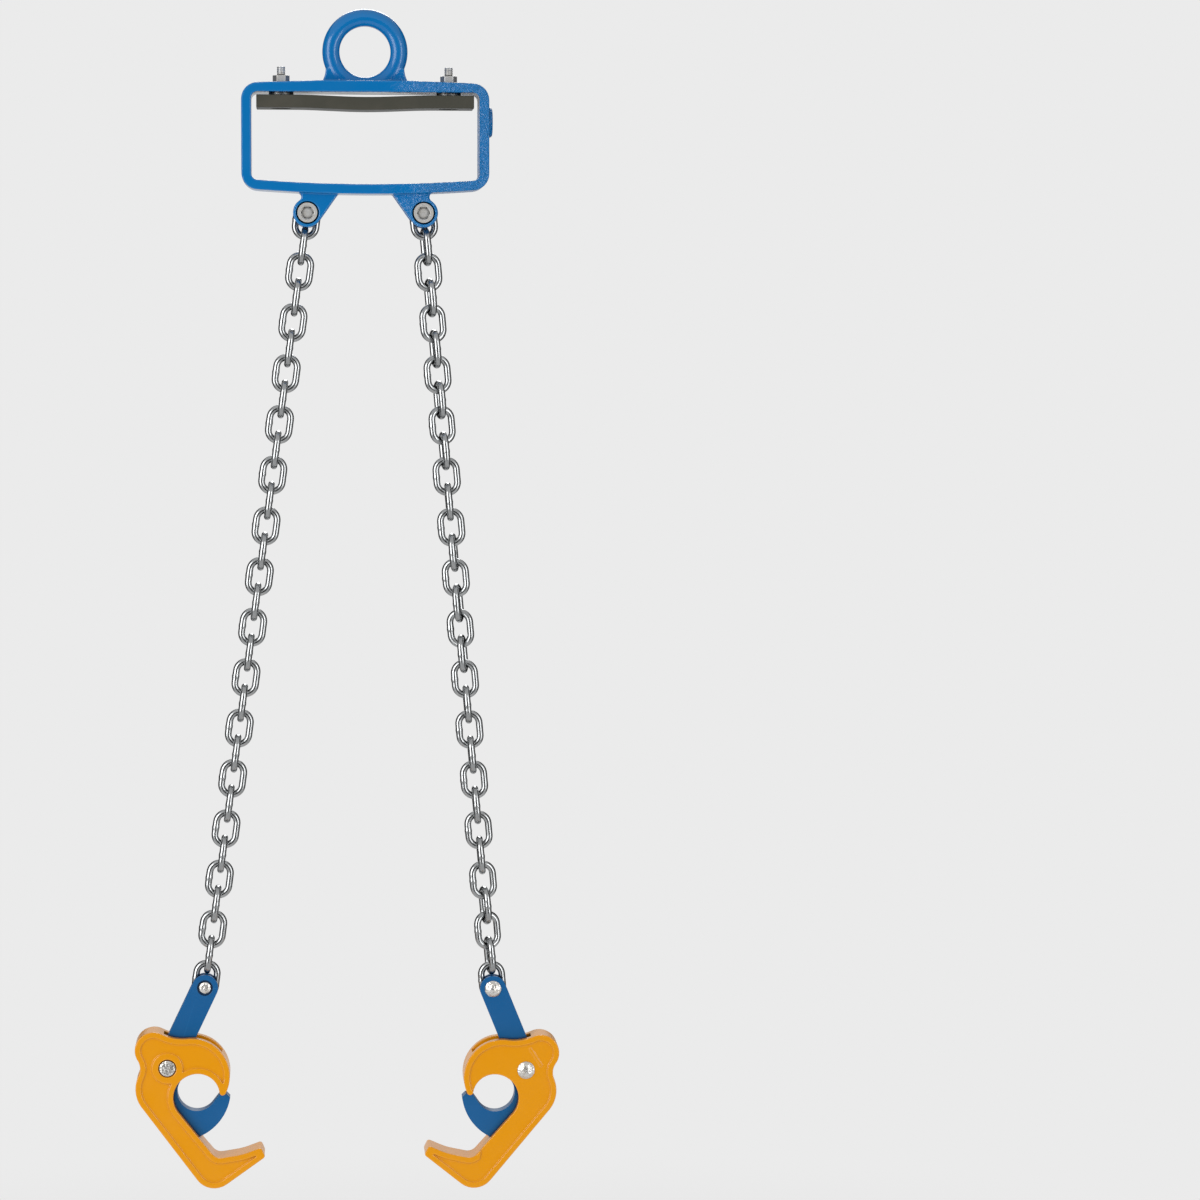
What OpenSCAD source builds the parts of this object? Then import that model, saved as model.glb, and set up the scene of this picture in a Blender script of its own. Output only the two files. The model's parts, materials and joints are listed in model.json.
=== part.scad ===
// Two-leg chain drum lifter: a fork sleeve with a lifting eye, two chain legs and two drum-rim clamps.
// Units are millimetres. The origin is the centre of the lifting eye, +Z is up and -Y is the front.

/* [Lifting eye] */
// Diameter of the hole for the hook
eye_hole_d = 47.5; // [40:0.5:60]
// Diameter of the round bar of the eye
eye_bar_d = 17; // [14:0.5:22]
// Depth of the straight land that the hook bears on
eye_land = 1; // [0.5:0.1:1.5]
// Metal left between the hole and the top bar
eye_floor = 4; // [1:0.1:6]
// Width of the flared foot
eye_foot_w = 80; // [78:1:90]
// Height of the flared foot
eye_foot_h = 12; // [9:0.5:14]
// Flare of each side of the foot
eye_flare = 3.4; // [2:0.2:6]
// Thickness of the foot from front to back
eye_foot_t = 14; // [10:1:16]

/* [Fork sleeve] */
// Width over the side bars
sleeve_w = 230; // [215:1:260]
// Height at the corners
sleeve_h = 99; // [90:1:120]
// Depth from front to back
sleeve_d = 50; // [44:1:70]
// Fall of the top bar from the eye to the corners
top_fall = 2; // [1:0.5:4]
// Thickness of the top bar at the corners
top_bar_t = 8.5; // [7:0.5:12]
// Thickness of the side bars
side_bar_t = 9.2; // [7:0.2:14]
// Thickness of the bottom bar
bottom_bar_t = 9; // [7:0.5:12]
// Downward bow of the bottom bar
bottom_bow = 3.6; // [2:0.2:6]
// Outer corner radius
outer_corner_r = 15.5; // [12:0.5:20]
// Inner corner radius
inner_corner_r = 5.8; // [4:0.2:9]
// Diameter of the cast boss on the right side bar
side_boss_d = 28; // [20:1:36]
// Height of that boss
side_boss_h = 3.8; // [2:0.2:6]
// Drop of that boss below the top of the sleeve
side_boss_drop = 37; // [30:1:50]

/* [Lugs] */
// Distance between the two lug bolts
lug_spacing = 108; // [96:1:124]
// Drop of the bolts below the corners of the sleeve
lug_drop = 21; // [18:0.5:26]
// Radius of the round end of an ear
lug_r = 13.4; // [12:0.2:16]
// Inboard reach of the slanted root of an ear
lug_root = 28.8; // [24:0.4:34]
// Fillet on the outer side of the root
lug_fillet_r = 4.3; // [3:0.1:6]
// Thickness of one ear
ear_t = 12; // [10:0.5:16]
// Gap between the two ears
ear_gap = 14; // [13.4:0.2:16]
// Thread diameter of the lug bolt
lug_bolt_d = 10; // [8:0.5:12]
// Head diameter of the lug bolt
lug_head_d = 18.4; // [16:0.2:19]
// Head height of the lug bolt
lug_head_h = 9; // [7:0.5:12]
// Depth of the sunk seat of the head
lug_seat = 8; // [5:0.5:8.5]
// Key size of the hexagon socket
lug_key = 10.5; // [8:0.5:11]

/* [Fork pad] */
// Length of the wear pad
pad_l = 202; // [180:1:206]
// Depth of the wear pad from front to back
pad_d = 40; // [34:1:48]
// Thickness of the wear pad
pad_t = 12; // [10:0.5:18]
// Sag of the wear pad between its studs
pad_sag = 1.8; // [0.5:0.1:3]
// Thickness of the spacer discs
spacer_t = 2.6; // [1.5:0.1:4]
// Diameter of the spacer discs
spacer_d = 23; // [18:0.5:28]
// Distance between the two studs
stud_spacing = 156; // [140:1:165]
// Thread diameter of the studs
stud_d = 8; // [6:0.5:9]
// Diameter of the sunk stud head
stud_head_d = 18; // [15:0.5:22]
// Thickness of the sunk stud head
stud_head_t = 4; // [3:0.5:6]
// Thread that stands above the nut
stud_proud = 8.5; // [4:0.5:12]

/* [Chain] */
// Wire diameter of a link
wire_d = 6.4; // [6:0.1:6.6]
// Pitch of the chain
pitch = 24; // [23:0.1:26]
// Clear width inside a link
link_inside = 13; // [12.4:0.1:13.4]
// Outward lean of the left leg in degrees
left_splay = 7.7; // [5:0.1:10]
// Outward lean of the right leg in degrees
right_splay = 5.1; // [4:0.1:10]

/* [Lever] */
// Distance from the chain pin to the pivot
lever_l = 82.5; // [80:0.5:96]
// Width of the arm
arm_w = 24.6; // [22:0.2:25]
// Thickness of the lever
lever_t = 15.5; // [13:0.5:18]
// Radius of the hub round the pivot
hub_r = 17.5; // [15:0.5:20]
// Width of the slot for the last link
link_slot = 7.2; // [7:0.1:8]
// Depth of that slot below the chain pin
link_slot_h = 15; // [13.5:0.5:20]
// Diameter of the chain pin
chain_pin_d = 9; // [8:0.2:9.4]
// Radius of the round bite in the crescent jaw
bite_r = 18.5; // [17:0.1:19.2]
// Radius of the back of the crescent jaw
crescent_r = 48.3; // [47:0.1:50]
// Lean of the left lever in degrees
left_lean = 25.4; // [15:0.1:32]
// Lean of the right lever in degrees
right_lean = 22; // [15:0.1:32]
// Angle through which the lever opens the jaw
opening_angle = 36; // [20:1:38]

/* [Clamp body] */
// Thickness of the casting
clamp_t = 35; // [31:0.5:42]
// Width of the raised rim
rim_w = 5.4; // [4:0.1:7]
// Height of the raised rim above the field
rim_h = 1.4; // [0.8:0.1:2]
// Radius of the hook that goes over the drum rim
hook_r = 36; // [35:0.2:38]
// Radius of the mouth for the drum rim
mouth_r = 20.5; // [19.6:0.1:21]
// Radius of the round nose
nose_r = 3; // [2.4:0.1:3.4]
// Radius of the shoulder behind the lever
shoulder_r = 17.4; // [16:0.2:19]
// Radius of the back of the casting
back_r = 29.4; // [28:0.2:31]
// Radius of the ring boss round the pivot
pivot_boss_r = 14.6; // [12:0.2:16]
// Shank diameter of the pivot rivet
rivet_d = 12; // [10:0.5:13]
// Diameter of the closed end of the rivet
rivet_end_d = 15; // [14:0.2:18]
// Diameter of the domed head of the rivet
rivet_head_d = 17; // [15:0.5:20]

/* [Fits] */
// Gap between two links, and between a link and its pin
link_gap = 0.3; // [0.2:0.05:0.5]
// Radial running clearance of a pin in its bore
pin_gap = 0.06; // [0.03:0.01:0.1]
// Side clearance of the lever in its slot
slot_gap = 0.4; // [0.2:0.1:1]

/* [Hidden] */
$fn = 64;
links = 31;
sides = ["left", "right"];
pairs = [for (k = [2 : 2 : links - 1]) k];

function leg_name(side, what) = str(side, "_", what);
function two(k) = k < 10 ? str("0", k) : str(k);
function pair_name(side, k) = leg_name(side, str("links_", two(k), "_", two(k + 1)));

// A small overlap that keeps cutters from ending flush with what they cut
bite = 1;
// How far a line or a fillet runs into the arc that it touches, so that they meet cleanly
seam = 0.03;

// Head, from the eye down
bar_top = -eye_hole_d / 2 - eye_floor;
bar_under = bar_top - top_fall - top_bar_t;
sleeve_bottom = bar_top - top_fall - sleeve_h;
bow_span = sleeve_w / 2 - outer_corner_r;
bow_r = (bow_span * bow_span + bottom_bow * bottom_bow) / (2 * bottom_bow);
bow_centre = sleeve_bottom - bottom_bow + bow_r;
lug_x = lug_spacing / 2;
lug_z = sleeve_bottom - lug_drop;
lug_depth = 2 * ear_t + ear_gap;
lug_hole_d = lug_bolt_d + 2 * pin_gap;
pad_top = bar_under - spacer_t;
stud_hole_d = stud_d + 2 * pin_gap;
// How far a bolt ends past its nut
past_nut = 2;
// Depth of the countersink of the sockets
socket_sink = 1.4;

// Hexagon nuts from their thread diameter
function nut_across(d) = 1.6 * d + 1;
function nut_h(d) = 0.8 * d;

// Chain: centre-line sizes of a link, and where the links sit along a leg from the lug bolt
link_r = (link_inside + wire_d) / 2;
link_inner_l = pitch + link_gap;
link_straight = link_inner_l + wire_d - 2 * link_r;
first_link = link_inner_l / 2 - lug_bolt_d / 2 - link_gap;
leg_l = first_link + (links - 1) * pitch + link_inner_l / 2 - chain_pin_d / 2 - link_gap;

// A leg's mirror sign, lean and lever lean
function out(side) = side == "left" ? -1 : 1;
function splay(side) = side == "left" ? left_splay : right_splay;
function lean(side) = side == "left" ? left_lean : right_lean;
function along_leg(side, s) =
    [out(side) * (lug_x + s * sin(splay(side))), 0, lug_z - s * cos(splay(side))];
function pivot_at(side) =
    along_leg(side, leg_l) + lever_l * [out(side) * sin(lean(side)), 0, -cos(lean(side))];

// Plane geometry
function unit(v) = v / norm(v);
function turned(v) = [-v[1], v[0]];
// The point at given distances from two centres, on the left of the way from the first to the second
function meet(c, r, d, s) =
    let (w = norm(d - c), u = (d - c) / w, a = (r * r - s * s + w * w) / (2 * w))
    c + a * u + sqrt(r * r - a * a) * turned(u);
// Where a line from p touches a circle, on the side given by +1 or -1
function touch(p, c, r, side) =
    let (w = norm(c - p), u = (c - p) / w, l = sqrt(w * w - r * r))
    p + l * (l / w * u + side * r / w * turned(u));
// Arc points that round the corner q between p and s with radius r
function rounded_corner(p, q, s, r, n = 8) =
    let (u = unit(p - q), v = unit(s - q), half = acos(u * v) / 2, c = q + unit(u + v) * r / sin(half),
         from = q + u * r / tan(half) - c, to = q + v * r / tan(half) - c,
         start = atan2(from[1], from[0]), swing = atan2(from[0] * to[1] - from[1] * to[0], from * to))
    [for (i = [0 : n]) c + r * [cos(start + swing * i / n), sin(start + swing * i / n)]];
// An outline from corners given as [x, z, radius]
function rounded(corners) =
    let (n = len(corners), at = [for (c = corners) [c[0], c[1]]])
    [for (i = [0 : n - 1])
        each (corners[i][2] > 0
            ? rounded_corner(at[(i + n - 1) % n], at[i], at[(i + 1) % n], corners[i][2])
            : [at[i]])];
// The same corners moved inwards by d on an outline that runs anticlockwise
function inset(corners, d) =
    let (n = len(corners), at = [for (c = corners) [c[0], c[1]]])
    [for (i = [0 : n - 1])
        let (u = unit(at[i] - at[(i + n - 1) % n]), v = unit(at[(i + 1) % n] - at[i]),
             a = turned(u), b = turned(v), q = at[i] + d * (a + b) / (1 + a * b),
             bends_in = u[0] * v[1] - u[1] * v[0] > 0, r = corners[i][2])
        [q[0], q[1], r == 0 ? 0 : bends_in ? max(r - d, 0) : r + d]];

// Clamp outline, measured from the pivot with the hook to the right
hook_c = [22.5, -8];
mouth_c = [28.4, -26];
mouth_relief = 2.5;
shoulder_c = [-13, 17];
shoulder_fillet_r = 45;
back_c = [-0.5, -19.5];
back_fillet_r = 15;
tail_heel = [39.3, -122.3];
tail_heel_r = 20;
tail_tip = [91.6, -85.3];
tail_tip_top = [87.8, -76.4];
tail_tip_r = 2.6;
tail_sag = [70, -82.9];
tail_sag_r = 60;
tail_crook = [45.5, -86.6];
tail_crook_r = 10;
back_touch = touch(tail_heel, back_c, back_r, 1);
relief_c = mouth_c - [0, mouth_relief];
relief_r = mouth_r + mouth_relief;
inner_touch = touch(tail_crook, relief_c, relief_r, 1);
tail_corners = [
    [back_touch[0], back_touch[1], 0],
    [tail_heel[0], tail_heel[1], tail_heel_r],
    [tail_tip[0], tail_tip[1], tail_tip_r],
    [tail_tip_top[0], tail_tip_top[1], tail_tip_r],
    [tail_sag[0], tail_sag[1], tail_sag_r],
    [tail_crook[0], tail_crook[1], tail_crook_r],
    [inner_touch[0], inner_touch[1], 0]];
// Where the rim of the plain side ends before the crook and how long it tapers, and the rib on that side
arm_end = 3;
rim_taper = 10;
rib_ends = [[-2.3, 21], [-14.4, 4.5]];
rib_w = 2.4;
rib_h = 0.7;
nose_c = meet(hook_c, hook_r - nose_r, mouth_c, mouth_r + nose_r);
far = 200;

// Lever outline, measured from the pivot in the same way with the jaw closed
bite_c = [27.5, -23.9];
crescent_c = [10.9, -22.4];
body_lean = 25.4;
jaw_gap = 0.4;
jaw_top = nose_c[1] - nose_r - jaw_gap;
jaw_x = 58.6;
jaw_bevel = [3.3, 3.4];
jaw_flat = 6.4;
jaw_tip = [[jaw_x, jaw_top - jaw_bevel[1]], [jaw_x - jaw_bevel[0], jaw_top],
    [jaw_x - jaw_bevel[0] - jaw_flat, jaw_top]];
heel_x = 22;
heel = [heel_x, crescent_c[1] - sqrt(pow(crescent_r, 2) - pow(heel_x - crescent_c[0], 2))];
heel_touch = touch(heel, [0, 0], hub_r - seam, 1);
jaw_reach = norm(crescent_c) + crescent_r;
function from_vertical(a, along, across) =
    [along * sin(a) + across * cos(a), along * cos(a) - across * sin(a)];
function opened(p) = from_vertical(opening_angle, p[1], p[0]);

// Slot of the casting, and the rivets
slot_w = lever_t + 2 * slot_gap;
slot_room = 0.8;
slot_behind = 4;
pin_end_d = 11.4;
pin_head_d = 16;
pin_sink = 2;
pin_ring = 1.7;
pin_hole_d = chain_pin_d + 2 * pin_gap;
rivet_hole_d = rivet_d + 2 * pin_gap;
rivet_sink = 2.2;
rivet_ring = 0.8;
rivet_proud = 0.6;
dome_h = 3;
head_ring = 1.2;

enamel_blue = "#1272BC";
lever_blue = "#14629F";
casting_orange = "#EFA01F";
zinc = "#C9CBCC";

// Lifts an outline in X and Z to a plate centred on Y
module plate(t, y = 0) {
    translate([0, y, 0]) rotate([90, 0, 0]) linear_extrude(t, center = true) children();
}

module along_y(x = 0, y = 0, z = 0) {
    translate([x, y, z]) rotate([90, 0, 0]) children();
}

module hexagon(across, h) {
    cylinder(d = across / cos(30), h = h, $fn = 6);
}

module hexagon_nut(d) {
    difference() {
        hexagon(nut_across(d), nut_h(d));
        translate([0, 0, -bite]) cylinder(d = d + 2 * pin_gap, h = nut_h(d) + 2 * bite);
    }
}

// Domed head: a slice of a ball with base diameter d and height h
module dome(d, h) {
    ball = (d * d / 4 + h * h) / (2 * h);
    intersection() {
        translate([0, 0, h - ball]) sphere(ball);
        cylinder(d = d + bite, h = h + bite);
    }
}

// Head

module eye_foot_outline() {
    flare_r = (pow(eye_foot_h, 2) + pow(eye_flare, 2)) / (2 * eye_flare);
    difference() {
        translate([-eye_foot_w / 2, bar_top]) square([eye_foot_w, eye_foot_h]);
        for (m = [-1, 1])
            translate([m * (eye_foot_w / 2 - eye_flare + flare_r), bar_top + eye_foot_h])
                circle(flare_r, $fn = 128);
    }
}

module lifting_eye() color(enamel_blue) {
    section_c = eye_hole_d / 2 + eye_bar_d / 2 - eye_land;
    difference() {
        union() {
            intersection() {
                rotate([90, 0, 0]) rotate_extrude() translate([section_c, 0]) circle(d = eye_bar_d);
                translate([-far / 2, -far / 2, bar_top]) cube(far);
            }
            difference() {
                plate(eye_foot_t) eye_foot_outline();
                along_y() cylinder(r = section_c, h = far, center = true);
            }
        }
        along_y() cylinder(d = eye_hole_d, h = far, center = true);
    }
}

// A loop outline with round corners, whose lower edge is an arc about the centre of the bottom bar's bow
function bowed_outline(half_w, top, bottom, corner_r, arc_r) =
    let (flat = half_w - corner_r, steps = 24)
    concat(
        rounded_corner([0, top], [-half_w, top], [-half_w, bottom], corner_r),
        rounded_corner([-half_w, top], [-half_w, bottom], [0, bottom], corner_r),
        [for (i = [1 : steps - 1])
            let (x = flat * (2 * i / steps - 1)) [x, bow_centre - sqrt(arc_r * arc_r - x * x)]],
        rounded_corner([0, bottom], [half_w, bottom], [half_w, top], corner_r),
        rounded_corner([half_w, bottom], [half_w, top], [0, top], corner_r));

module sleeve_outline() {
    polygon(concat(bowed_outline(sleeve_w / 2, bar_top - top_fall, sleeve_bottom, outer_corner_r, bow_r),
        [[eye_foot_w / 2, bar_top], [-eye_foot_w / 2, bar_top]]));
}

module head_frame() color(enamel_blue) {
    opening_w = sleeve_w / 2 - side_bar_t;
    boss_r = side_boss_d / 2;
    boss_edge = 0.7 * side_boss_h;
    difference() {
        union() {
            plate(sleeve_d) sleeve_outline();
            translate([sleeve_w / 2, 0, bar_top - side_boss_drop]) rotate([0, 90, 0]) rotate_extrude()
                polygon(concat([[0, -bite], [boss_r, -bite]],
                    rounded_corner([boss_r, 0], [boss_r, side_boss_h], [0, side_boss_h], boss_edge),
                    [[0, side_boss_h]]));
        }
        plate(sleeve_d + 2 * bite)
            polygon(bowed_outline(opening_w, bar_under, sleeve_bottom + bottom_bar_t, inner_corner_r,
                bow_r - bottom_bar_t));
        for (m = [-1, 1])
            translate([m * stud_spacing / 2, 0, bar_under - bite]) cylinder(d = stud_hole_d, h = far / 4);
    }
}

// How far the bow lowers the underside of the bottom bar at x
function bow_drop(x) = sqrt(bow_r * bow_r - x * x) - bow_r + bottom_bow;

// One ear with its bolt at the origin and its root to the right
module ear_outline() {
    under = lug_drop - bow_drop(lug_x + lug_r);
    root = [lug_root, lug_drop - bow_drop(lug_x - lug_root) + seam];
    fillet_z = under - lug_fillet_r;
    fillet_c = [-sqrt(pow(lug_r + lug_fillet_r, 2) - fillet_z * fillet_z), fillet_z];
    circle(lug_r);
    difference() {
        polygon([[0, 0], touch(root, [0, 0], lug_r - seam, 1), root, [lug_root, lug_drop],
            [fillet_c[0], lug_drop], [fillet_c[0], under], unit(fillet_c) * lug_r]);
        translate(fillet_c) circle(lug_fillet_r + seam);
    }
}

module lug(side) color(enamel_blue) difference() {
    for (m = [-1, 1])
        plate(ear_t, m * (ear_gap + ear_t) / 2)
            translate([out(side) * lug_x, lug_z]) mirror([side == "left" ? 0 : 1, 0]) ear_outline();
    plate(far) sleeve_outline();
    along_y(out(side) * lug_x, 0, lug_z) {
        cylinder(d = lug_hole_d, h = far, center = true);
        translate([0, 0, lug_depth / 2 - lug_seat]) cylinder(d = lug_head_d + 2 * head_ring, h = far);
    }
}

module lug_bolt(side) color(zinc) along_y(out(side) * lug_x, 0, lug_z) {
    seat = lug_depth / 2 - lug_seat;
    tail = lug_depth / 2 + nut_h(lug_bolt_d) + past_nut;
    difference() {
        union() {
            translate([0, 0, seat]) cylinder(d = lug_head_d, h = lug_head_h);
            translate([0, 0, -tail]) cylinder(d = lug_bolt_d, h = tail + seat + bite);
        }
        translate([0, 0, seat + lug_head_h / 2]) hexagon(lug_key, lug_head_h);
        translate([0, 0, seat + lug_head_h - socket_sink])
            cylinder(d1 = lug_key, d2 = lug_key + 4 * socket_sink, h = 2 * socket_sink);
    }
}

module lug_nuts() color(zinc) {
    for (side = sides)
        along_y(out(side) * lug_x, lug_depth / 2 + nut_h(lug_bolt_d), lug_z) hexagon_nut(lug_bolt_d);
}

// Wear pad

module at_studs(z) {
    for (m = [-1, 1]) translate([m * stud_spacing / 2, 0, z]) children();
}

// The pad sags between the flat lands under its spacers
pad_land = stud_spacing / 2 - spacer_d / 2;
function sag(x) = abs(x) < pad_land ? pad_sag * pow(cos(90 * x / pad_land), 2) : 0;
pad_steps = [for (i = [-10 : 10]) i / 10 * pad_land];

module fork_pad() color("#45463F") difference() {
    plate(pad_d) polygon(concat(
        [[-pad_l / 2, pad_top], [-pad_l / 2, pad_top - pad_t]],
        [for (x = pad_steps) [x, pad_top - pad_t - sag(x)]],
        [[pad_l / 2, pad_top - pad_t], [pad_l / 2, pad_top]],
        [for (x = pad_steps) [-x, pad_top - sag(x)]]));
    at_studs(pad_top - pad_t - bite) cylinder(d = stud_hole_d, h = pad_t + 2 * bite);
    at_studs(pad_top - pad_t - bite) cylinder(d = stud_head_d + 2 * pin_gap, h = stud_head_t + 2 * bite);
}

module pad_spacers() color(zinc) at_studs(pad_top) difference() {
    cylinder(d = spacer_d, h = spacer_t);
    translate([0, 0, -bite]) cylinder(d = stud_hole_d, h = spacer_t + 2 * bite);
}

module pad_studs() color(zinc) at_studs(pad_top - pad_t + bite) {
    cylinder(d = stud_head_d, h = stud_head_t);
    cylinder(d = stud_d, h = pad_t - bite + spacer_t + stud_seat() + nut_h(stud_d) + stud_proud);
}

// Height of the top bar at the studs, above its underside
function stud_seat() =
    top_bar_t + top_fall * (bow_span - stud_spacing / 2) / (bow_span - eye_foot_w / 2);
function nut_seat() = stud_seat() + top_fall * nut_across(stud_d) / (bow_span - eye_foot_w / 2);

module pad_nuts() color(zinc) at_studs(bar_under + nut_seat()) hexagon_nut(stud_d);

// Chain

// A link in the X and Z plane, or turned edge-on, with its long way along Z
module link(edge_on) rotate([0, 0, edge_on ? 90 : 0]) {
    for (m = [0, 180])
        rotate([0, m, 0]) {
            translate([0, 0, link_straight / 2]) rotate([90, 0, 0])
                rotate_extrude(angle = 180) translate([link_r, 0]) circle(d = wire_d);
            translate([link_r, 0, 0]) cylinder(d = wire_d, h = link_straight, center = true);
        }
}

module link_on_leg(side, k) {
    translate(along_leg(side, first_link + (k - 1) * pitch))
        rotate([0, out(side) * -splay(side), 0]) link(k % 2 == 0);
}

module top_link(side) color(zinc) link_on_leg(side, 1);

module link_pair(side, k) color(zinc) {
    link_on_leg(side, k);
    link_on_leg(side, k + 1);
}

// Clamps

// Places a clamp piece, which is drawn round its pivot, on its leg; the right one is turned round
module on_pivot(side) {
    translate(pivot_at(side)) rotate([0, 0, side == "left" ? 0 : 180])
        rotate([0, lean(side) - body_lean, 0]) children();
}

pin_at = from_vertical(body_lean, lever_l, 0);

module lever_outline() {
    difference() {
        union() {
            rotate(-body_lean) translate([seam - arm_w / 2, 0]) square([arm_w - 2 * seam, lever_l]);
            translate(pin_at) circle(d = arm_w);
            circle(hub_r);
            intersection() {
                translate(crescent_c) circle(crescent_r, $fn = 128);
                polygon(concat([[0, 0], heel_touch, heel + far * unit(heel - heel_touch), [far, -far]],
                    [[far, jaw_tip[0][1]]], jaw_tip,
                    [touch(jaw_tip[2], bite_c, bite_r - seam, 1), bite_c]));
            }
        }
        translate(bite_c) circle(bite_r);
    }
}

module lever(side) color(lever_blue) on_pivot(side) difference() {
    plate(lever_t) lever_outline();
    along_y() cylinder(d = rivet_hole_d, h = far, center = true);
    translate([pin_at[0], 0, pin_at[1]]) rotate([0, body_lean, 0])
        translate([-far / 2, -link_slot / 2, -link_slot_h]) cube([far, link_slot, far]);
    along_y(pin_at[0], 0, pin_at[1]) {
        cylinder(d = pin_hole_d, h = far, center = true);
        translate([0, 0, lever_t / 2 - pin_sink]) cylinder(d = pin_end_d + 2 * pin_ring, h = far);
    }
}

module chain_pin(side) color(zinc) on_pivot(side) along_y(pin_at[0], 0, pin_at[1]) {
    translate([0, 0, -lever_t / 2]) cylinder(d = chain_pin_d, h = lever_t - pin_sink);
    translate([0, 0, lever_t / 2 - pin_sink]) {
        cylinder(d = pin_end_d, h = pin_sink / 2);
        translate([0, 0, pin_sink / 2]) dome(pin_end_d, dome_h / 2);
    }
    translate([0, 0, -lever_t / 2]) rotate([180, 0, 0]) dome(pin_head_d, dome_h);
}

// The tail of the casting, moved inwards by d, from where it leaves the back to where it meets the mouth
function tail_outline(d) =
    let (c = inset(tail_corners, d), n = len(c),
         start = back_c + (back_r - d - seam) * unit(back_touch - back_c),
         end = relief_c + (relief_r + d - seam) * unit(inner_touch - relief_c))
    rounded(concat([[back_c[0], back_c[1], 0], [start[0], start[1], 0]], [for (i = [1 : n - 2]) c[i]],
        [[end[0], end[1], 0]]));

// Outline of the casting, moved inwards by d
module clamp_outline(d = 0) {
    shoulder_fillet = meet(shoulder_c, shoulder_r + shoulder_fillet_r, hook_c, hook_r + shoulder_fillet_r);
    back_fillet = meet(back_c, back_r + back_fillet_r, shoulder_c, shoulder_r + back_fillet_r);
    difference() {
        union() {
            translate(hook_c) circle(hook_r - d, $fn = 128);
            translate(shoulder_c) circle(shoulder_r - d);
            translate(back_c) circle(back_r - d, $fn = 128);
            polygon(tail_outline(d));
            difference() {
                polygon([shoulder_c, hook_c, hook_c + (hook_r - d) * unit(shoulder_fillet - hook_c),
                    shoulder_c + (shoulder_r - d) * unit(shoulder_fillet - shoulder_c)]);
                translate(shoulder_fillet) circle(shoulder_fillet_r + d + seam, $fn = 128);
            }
            difference() {
                polygon([back_c, hook_c, shoulder_c,
                    shoulder_c + (shoulder_r - d) * unit(back_fillet - shoulder_c),
                    back_c + (back_r - d) * unit(back_fillet - back_c)]);
                translate(back_fillet) circle(back_fillet_r + d + seam);
            }
        }
        translate(mouth_c) circle(mouth_r + d, $fn = 128);
        intersection() {
            translate(relief_c) circle(relief_r + d, $fn = 128);
            translate([mouth_c[0] - far, -far]) square([far, 2 * far]);
        }
        polygon([mouth_c, nose_c, [far, nose_c[1]], [far, hook_c[1] - hook_r],
            [mouth_c[0], hook_c[1] - hook_r]]);
    }
    if (d < nose_r) translate(nose_c) circle(nose_r - d + seam);
}

// The room that the lever sweeps between the two cheeks of the casting
module slot_outline() {
    open_lean = body_lean + opening_angle;
    behind = -arm_w / 2 - slot_behind;
    ahead = arm_w / 2 + slot_room;
    back_edge = opened(heel_touch) + slot_room * unit(opened(heel_touch));
    polygon([from_vertical(body_lean, 0, behind), from_vertical(body_lean, far, behind),
        from_vertical(open_lean, far, ahead), from_vertical(open_lean, 0, ahead)]);
    circle(hub_r + slot_room);
    intersection() {
        circle(jaw_reach + slot_room, $fn = 128);
        polygon([[0, 0], back_edge, back_edge + far * unit(opened(heel) - opened(heel_touch)), [far, -far],
            [far, jaw_top + jaw_gap / 2], [mouth_c[0], jaw_top + jaw_gap / 2]]);
    }
}

// Sunk field of the ring side: all that the rim leaves, but for the ring boss
module ring_field() difference() {
    clamp_outline(rim_w);
    circle(pivot_boss_r);
}

// Sunk field of the plain side, which runs out to the mouth and to the inner edge of the arm
module plain_field() {
    run = unit(tail_crook - inner_touch);
    start = inner_touch - rim_taper * run;
    end = tail_crook - arm_end * run;
    clamp_outline(rim_w);
    intersection() {
        union() {
            translate(hook_c) circle(hook_r - rim_w, $fn = 128);
            translate(back_c) circle(back_r - rim_w, $fn = 128);
        }
        translate(relief_c) circle(relief_r + rim_w + bite, $fn = 128);
    }
    polygon([for (p = [[start, bite], [start, -rim_w - bite], [end, -rim_w - bite],
        [end - rim_taper * run, bite]]) p[0] + p[1] * turned(run)]);
}

module field_rib() {
    polygon([for (p = [[0, -1], [0, 1], [1, 1], [1, -1]])
        rib_ends[p[0]] + p[1] * rib_w / 2 * turned(unit(rib_ends[1] - rib_ends[0]))]);
}

module clamp_body(side) color(casting_orange) on_pivot(side) {
    field_y = clamp_t / 2 - rim_h;
    difference() {
        plate(clamp_t) clamp_outline();
        plate(slot_w) slot_outline();
        plate(rim_h + bite, -field_y - (rim_h + bite) / 2) ring_field();
        plate(rim_h + bite, field_y + (rim_h + bite) / 2) plain_field();
        along_y() {
            cylinder(d = rivet_hole_d, h = far, center = true);
            translate([0, 0, clamp_t / 2 - rivet_sink]) cylinder(d = rivet_end_d + 2 * rivet_ring, h = far);
        }
    }
    plate(rib_h + bite, field_y + (rib_h - bite) / 2) field_rib();
}

module pivot_rivet(side) color(zinc) on_pivot(side) along_y() {
    back = clamp_t / 2 - rim_h;
    translate([0, 0, -back]) cylinder(d = rivet_d, h = back + clamp_t / 2 - rivet_sink);
    translate([0, 0, clamp_t / 2 - rivet_sink]) {
        cylinder(d = rivet_end_d, h = rivet_sink);
        translate([0, 0, rivet_sink]) dome(rivet_end_d, rivet_proud);
    }
    translate([0, 0, -back]) rotate([180, 0, 0]) dome(rivet_head_d, dome_h);
}

lifting_eye();
head_frame();
lug_nuts();
fork_pad();
pad_spacers();
pad_studs();
pad_nuts();
for (side = sides) {
    lug(side);
    lug_bolt(side);
    top_link(side);
    for (k = pairs)
        link_pair(side, k);
    lever(side);
    chain_pin(side);
    clamp_body(side);
    pivot_rivet(side);
}
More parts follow.
